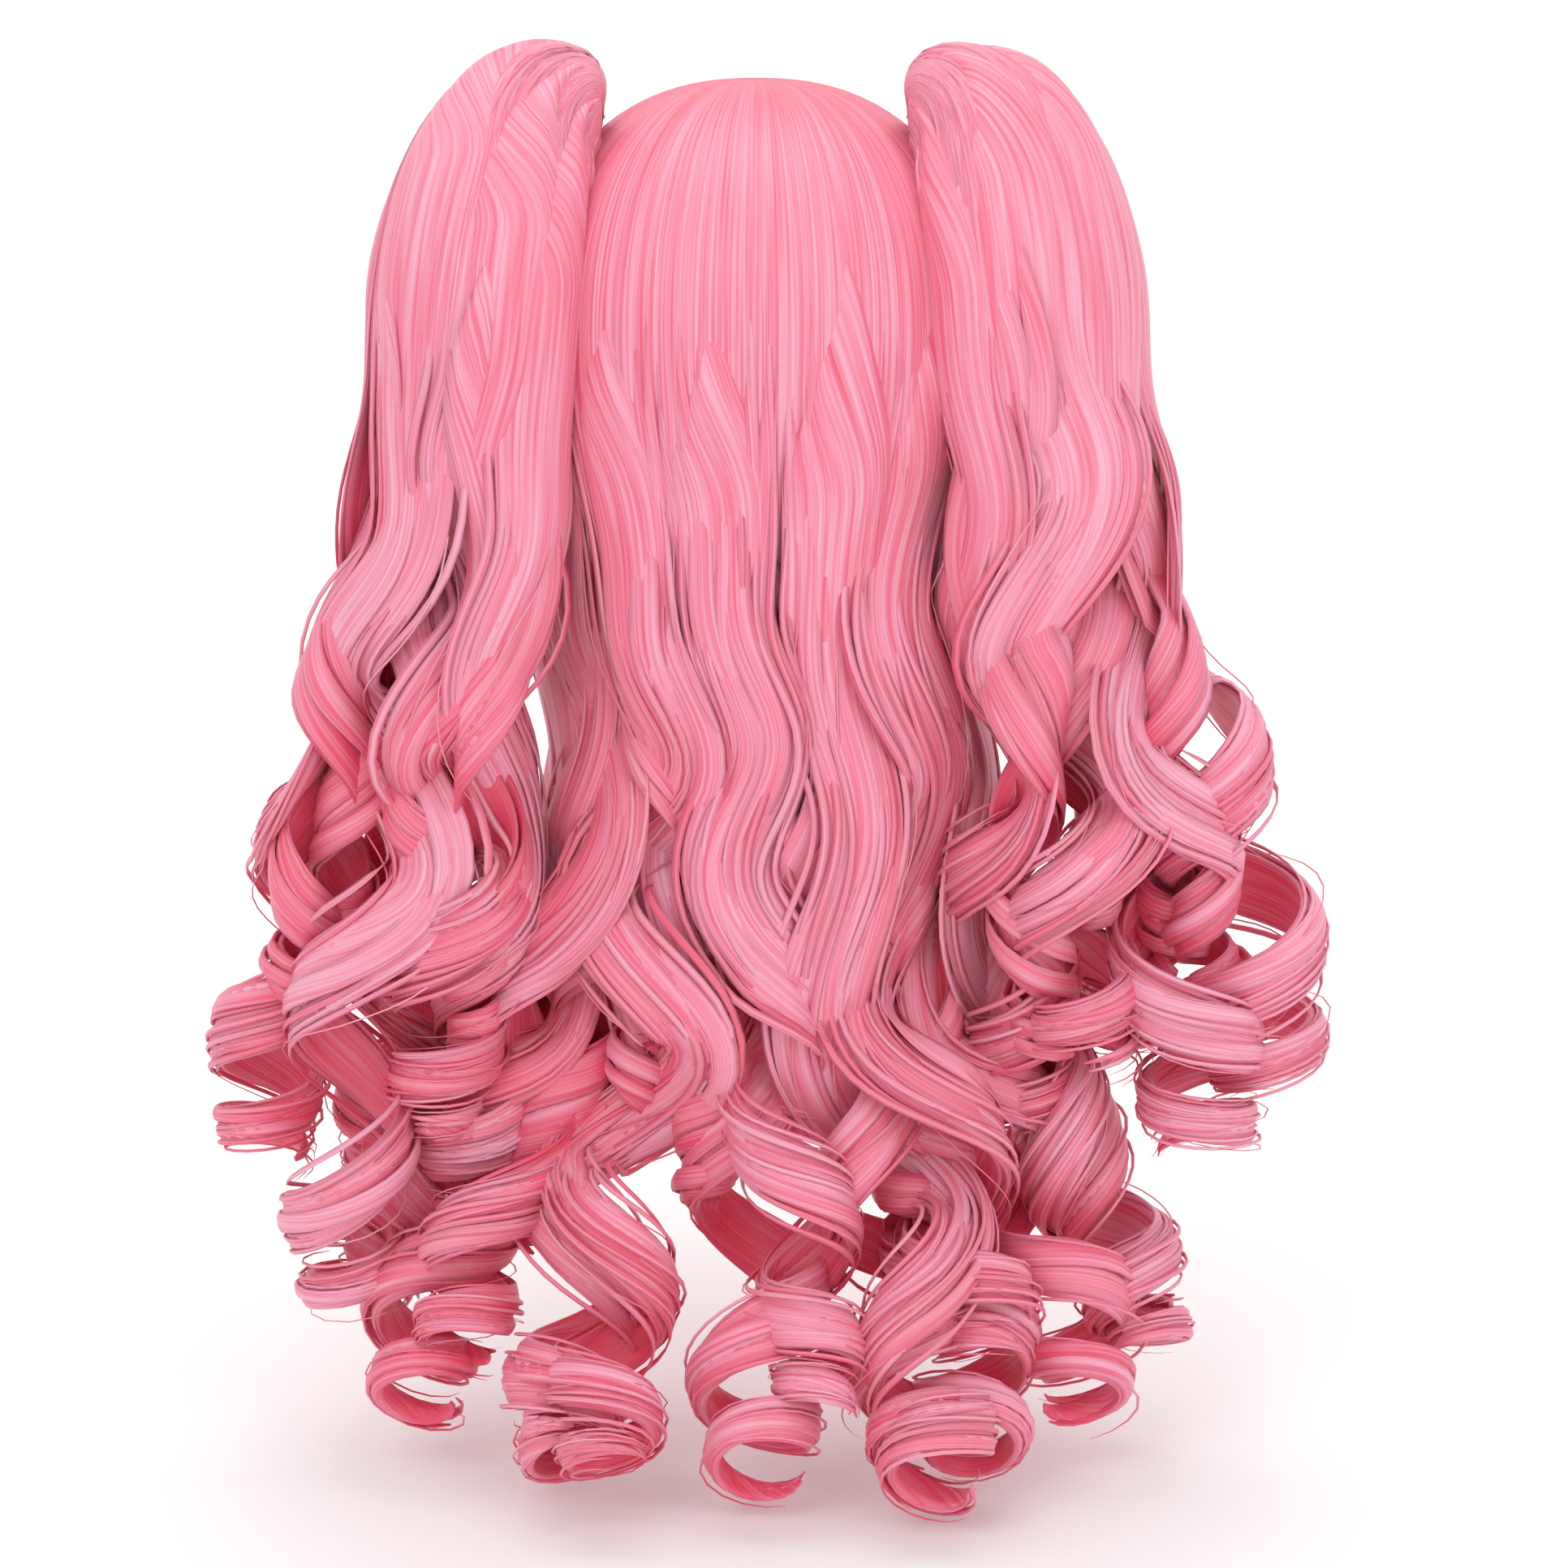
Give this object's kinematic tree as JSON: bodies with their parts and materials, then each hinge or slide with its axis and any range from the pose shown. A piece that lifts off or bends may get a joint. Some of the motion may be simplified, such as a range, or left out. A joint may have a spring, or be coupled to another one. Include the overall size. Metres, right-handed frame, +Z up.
{
  "type": "pigtail wig",
  "caption": "Long wavy wig with curled ends on a fitted net cap, with a clip-on pigtail high on each side, shaped as it hangs when worn.",
  "frame": {"origin": "where the crown of the head touches the inside of the cap", "axes": "+Z up, +Y towards the face opening, so the back of the hair faces -Y and +X is the wearer's right"},
  "size_m": [0.4007, 0.2878, 0.4894],
  "materials": {
    "net": "matte net",
    "hair": "glossy synthetic fibre",
    "clip": "satin"
  },
  "bodies": {
    "root": {"cap": "net", "back_hair": "hair", "front_hair": "hair", "clip_left": "clip", "clip_right": "clip", "pigtail_left": "hair", "pigtail_right": "hair"}
  },
  "joints": []
}
